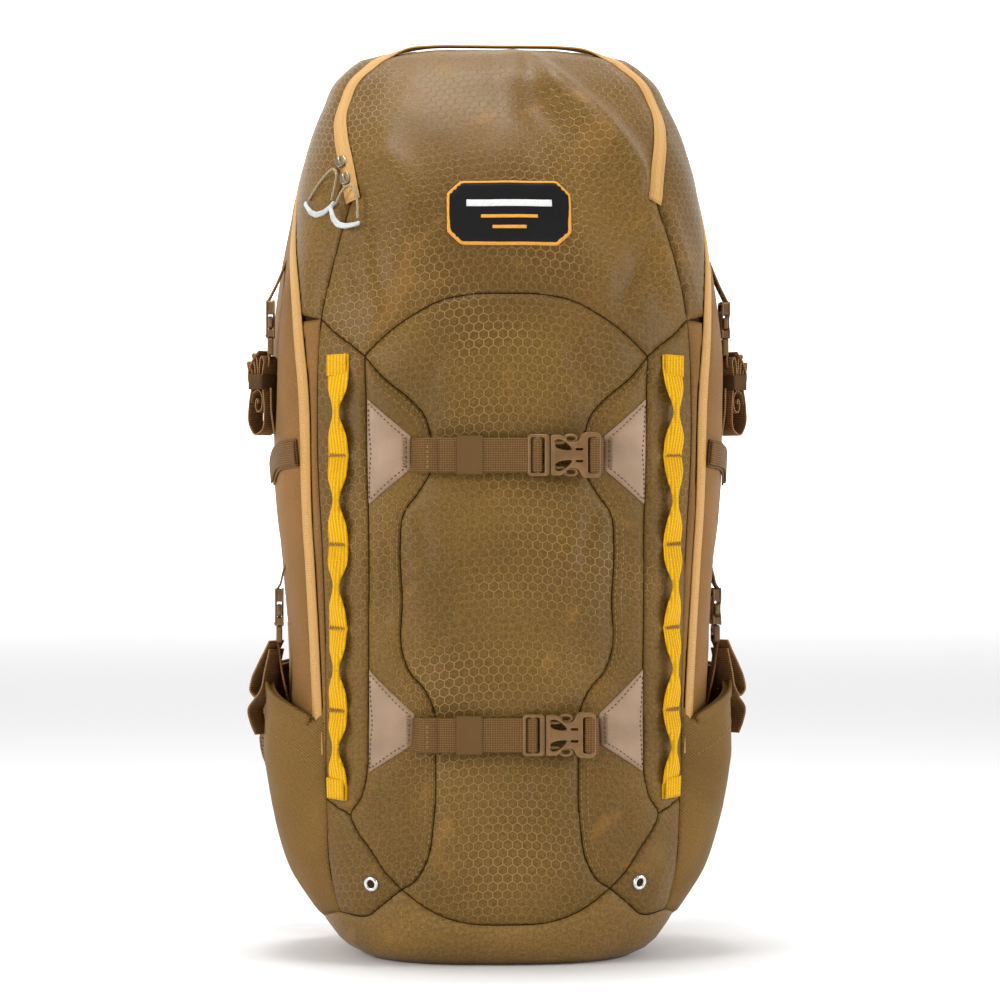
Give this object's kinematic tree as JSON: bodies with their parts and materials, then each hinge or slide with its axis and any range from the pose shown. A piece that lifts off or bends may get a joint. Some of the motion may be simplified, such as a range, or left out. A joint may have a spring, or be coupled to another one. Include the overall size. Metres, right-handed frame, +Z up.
{
  "type": "hunting backpack",
  "caption": "Upright daypack in honeycomb ripstop with a waisted front pocket, buckled front straps, lash loops, side pockets, zipped lid and padded harness.",
  "frame": {"origin": "on the floor under the middle of the bounding box", "axes": "+Z up, -Y out of the front of the pack, +X to the right seen from the front"},
  "size_m": [0.3598, 0.3254, 0.672],
  "materials": {
    "ripstop": "matte",
    "side_cloth": "matte",
    "leatherette": "matte",
    "webbing": "matte",
    "loop_webbing": "matte",
    "zip_tape": "matte",
    "buckle_plastic": "satin",
    "zip_metal": "satin",
    "eyelet_metal": "satin",
    "cord": "matte",
    "grip_rubber": "matte",
    "label_cloth": "matte",
    "mesh_padding": "matte",
    "frame_plastic": "matte",
    "frame_metal": "satin"
  },
  "bodies": {
    "pack": {"base_panel": "ripstop", "front_panel": "ripstop", "lid_panel": "ripstop", "front_pocket": "ripstop", "strip_panels": "ripstop", "side_pocket_left": "ripstop", "side_pocket_right": "ripstop", "side_panel_left": "side_cloth", "side_panel_right": "side_cloth", "back_panel": "side_cloth", "leather_patches": "leatherette", "label_patch": "label_cloth", "drain_eyelets": "eyelet_metal", "daisy_chains": "loop_webbing", "lid_zip": "zip_tape", "main_zip": "zip_tape", "front_strap_upper": "webbing", "front_strap_lower": "webbing", "front_anchor_straps": "webbing", "side_straps": "webbing", "harness_webbings": "webbing", "front_buckle_bodies": "buckle_plastic", "side_buckle_bodies": "buckle_plastic", "frame_sheet": "frame_plastic", "frame_stays": "frame_metal", "back_pads": "mesh_padding", "shoulder_strap_left": "mesh_padding", "shoulder_strap_right": "mesh_padding"},
    "plug_upper": {"plug_upper": "buckle_plastic"},
    "plug_lower": {"plug_lower": "buckle_plastic"},
    "arm_upper_top": {"plug_upper_arm_top": "buckle_plastic"},
    "arm_upper_bottom": {"plug_upper_arm_bottom": "buckle_plastic"},
    "arm_lower_top": {"plug_lower_arm_top": "buckle_plastic"},
    "arm_lower_bottom": {"plug_lower_arm_bottom": "buckle_plastic"},
    "keeper_upper": {"keeper_upper": "ripstop"},
    "keeper_lower": {"keeper_lower": "ripstop"},
    "lid_slider_upper": {"lid_slider_upper": "zip_metal"},
    "lid_slider_lower": {"lid_slider_lower": "zip_metal"},
    "pull_upper": {"pull_grip_upper": "grip_rubber", "pull_cord_upper": "cord"},
    "pull_lower": {"pull_grip_lower": "grip_rubber", "pull_cord_lower": "cord"},
    "main_slider_left": {"main_slider_left": "zip_metal"},
    "main_slider_right": {"main_slider_right": "zip_metal"},
    "side_plug_upper_left": {"side_plug_upper_left": "buckle_plastic"},
    "side_plug_upper_right": {"side_plug_upper_right": "buckle_plastic"},
    "side_plug_lower_left": {"side_plug_lower_left": "buckle_plastic"},
    "side_plug_lower_right": {"side_plug_lower_right": "buckle_plastic"},
    "sternum": {"sternum_strap": "webbing", "sternum_buckle_body": "buckle_plastic"},
    "sternum_plug": {"sternum_plug": "buckle_plastic"},
    "hip_left": {"hip_wing_left": "mesh_padding", "hip_strap_left": "webbing", "hip_buckle_body": "buckle_plastic"},
    "hip_right": {"hip_wing_right": "mesh_padding", "hip_strap_right": "webbing", "hip_plug": "buckle_plastic"},
    "haul_handle": {"haul_handle": "webbing"}
  },
  "joints": [
    {"name": "upper_buckle_release", "type": "slide", "parent": "pack", "child": "plug_upper", "axis": [-1, 0, 0], "range_m": [0, 0.024], "deforming": ["front_strap_upper", "plug_upper_arm_top", "plug_upper_arm_bottom"]},
    {"name": "upper_press_top", "type": "hinge", "parent": "plug_upper", "child": "arm_upper_top", "pos_m": [0.0299, -0.1587, 0.3726], "axis": [0, 1, 0], "range_deg": [0, 12], "stiffness_Nm_per_rad": 0.05},
    {"name": "upper_press_bottom", "type": "hinge", "parent": "plug_upper", "child": "arm_upper_bottom", "pos_m": [0.0299, -0.1587, 0.3542], "axis": [0, -1, 0], "range_deg": [0, 12], "stiffness_Nm_per_rad": 0.05},
    {"name": "upper_keeper_slide", "type": "slide", "parent": "pack", "child": "keeper_upper", "axis": [1, 0, 0], "range_m": [-0.012, 0.003]},
    {"name": "lower_buckle_release", "type": "slide", "parent": "pack", "child": "plug_lower", "axis": [-1, 0, 0], "range_m": [0, 0.024], "deforming": ["front_strap_lower", "plug_lower_arm_top", "plug_lower_arm_bottom"]},
    {"name": "lower_press_top", "type": "hinge", "parent": "plug_lower", "child": "arm_lower_top", "pos_m": [0.0269, -0.1531, 0.176], "axis": [0, 1, 0], "range_deg": [0, 12], "stiffness_Nm_per_rad": 0.05},
    {"name": "lower_press_bottom", "type": "hinge", "parent": "plug_lower", "child": "arm_lower_bottom", "pos_m": [0.0269, -0.1531, 0.1576], "axis": [0, -1, 0], "range_deg": [0, 12], "stiffness_Nm_per_rad": 0.05},
    {"name": "lower_keeper_slide", "type": "slide", "parent": "pack", "child": "keeper_lower", "axis": [1, 0, 0], "range_m": [-0.012, 0.003]},
    {"name": "lid_zip_slide_upper", "type": "slide", "parent": "pack", "child": "lid_slider_upper", "axis": [-0.1848, 0.6574, 0.7305], "range_m": [0, 0.04]},
    {"name": "lid_zip_slide_lower", "type": "slide", "parent": "pack", "child": "lid_slider_lower", "axis": [-0.1891, 0.5892, 0.7856], "range_m": [-0.01, 0]},
    {"name": "pull_swing_upper", "type": "hinge", "parent": "lid_slider_upper", "child": "pull_upper", "pos_m": [-0.1196, -0.0885, 0.571], "axis": [-0.77, 0.638, 0], "range_deg": [0, 75]},
    {"name": "pull_swing_lower", "type": "hinge", "parent": "lid_slider_lower", "child": "pull_lower", "pos_m": [-0.111, -0.1016, 0.5576], "axis": [-0.77, 0.638, 0], "range_deg": [0, 75]},
    {"name": "main_zip_slide_left", "type": "slide", "parent": "pack", "child": "main_slider_left", "axis": [-1, 0, 0], "range_m": [0, 0.035]},
    {"name": "main_zip_slide_right", "type": "slide", "parent": "pack", "child": "main_slider_right", "axis": [1, 0, 0], "range_m": [0, 0.035]},
    {"name": "side_buckle_upper_left", "type": "slide", "parent": "pack", "child": "side_plug_upper_left", "axis": [0, 0, -1], "range_m": [0, 0.0187], "deforming": ["side_straps", "side_plug_upper_left"]},
    {"name": "side_buckle_upper_right", "type": "slide", "parent": "pack", "child": "side_plug_upper_right", "axis": [0, 0, -1], "range_m": [0, 0.0187], "deforming": ["side_straps", "side_plug_upper_right"]},
    {"name": "side_buckle_lower_left", "type": "slide", "parent": "pack", "child": "side_plug_lower_left", "axis": [0, 0, -1], "range_m": [0, 0.0187], "deforming": ["side_straps", "side_plug_lower_left"]},
    {"name": "side_buckle_lower_right", "type": "slide", "parent": "pack", "child": "side_plug_lower_right", "axis": [0, 0, -1], "range_m": [0, 0.0187], "deforming": ["side_straps", "side_plug_lower_right"]},
    {"name": "sternum_height", "type": "slide", "parent": "pack", "child": "sternum", "axis": [0, 0, 1], "range_m": [-0.03, 0.03]},
    {"name": "sternum_release", "type": "slide", "parent": "sternum", "child": "sternum_plug", "axis": [-1, 0, 0], "range_m": [0, 0.0187], "deforming": ["sternum_strap", "sternum_plug"]},
    {"name": "hip_wing_swing_right", "type": "hinge", "parent": "pack", "child": "hip_right", "pos_m": [0.084, 0.104, 0.165], "axis": [0, 0, 1], "range_deg": [-12, 25]},
    {"name": "hip_wing_swing_left", "type": "hinge", "parent": "pack", "child": "hip_left", "pos_m": [-0.084, 0.104, 0.165], "axis": [0, 0, -1], "range_deg": [-12, 25]},
    {"name": "haul_handle_tilt", "type": "hinge", "parent": "pack", "child": "haul_handle", "pos_m": [0, 0.1, 0.604], "axis": [-1, 0, 0], "range_deg": [0, 70]}
  ],
  "couplings": [
    {"joint": "upper_press_bottom", "follows": "upper_press_top", "ratio": 1},
    {"joint": "lower_press_bottom", "follows": "lower_press_top", "ratio": 1}
  ]
}
